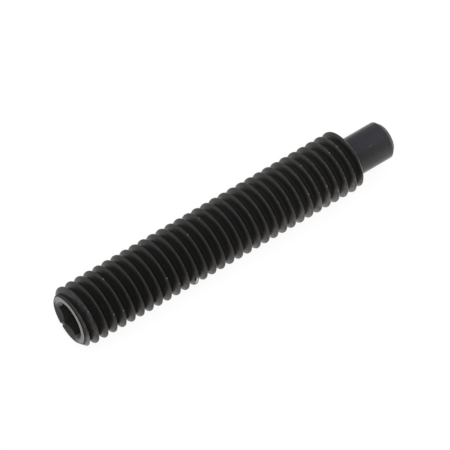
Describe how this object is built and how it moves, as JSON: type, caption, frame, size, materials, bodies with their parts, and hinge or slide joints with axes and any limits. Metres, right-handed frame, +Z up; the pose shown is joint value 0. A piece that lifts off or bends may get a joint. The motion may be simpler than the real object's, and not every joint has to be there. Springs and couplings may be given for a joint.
{
  "type": "eccentric screw",
  "caption": "Headless screw with a right-hand metric thread, a hexagon socket in one end and an off-centre pin on the other, for setting a mating part by turning it.",
  "frame": {"origin": "under the middle of the screw's length, on the surface that it lies on", "axes": "+X along the screw from the socket end to the pin end, +Z up, away from the surface that it lies on"},
  "size_m": [0.0358, 0.006, 0.006],
  "materials": {
    "black_steel": "black oxide on steel, slightly oily, satin"
  },
  "bodies": {
    "root": {"eccentric_screw": "black_steel"}
  },
  "joints": []
}
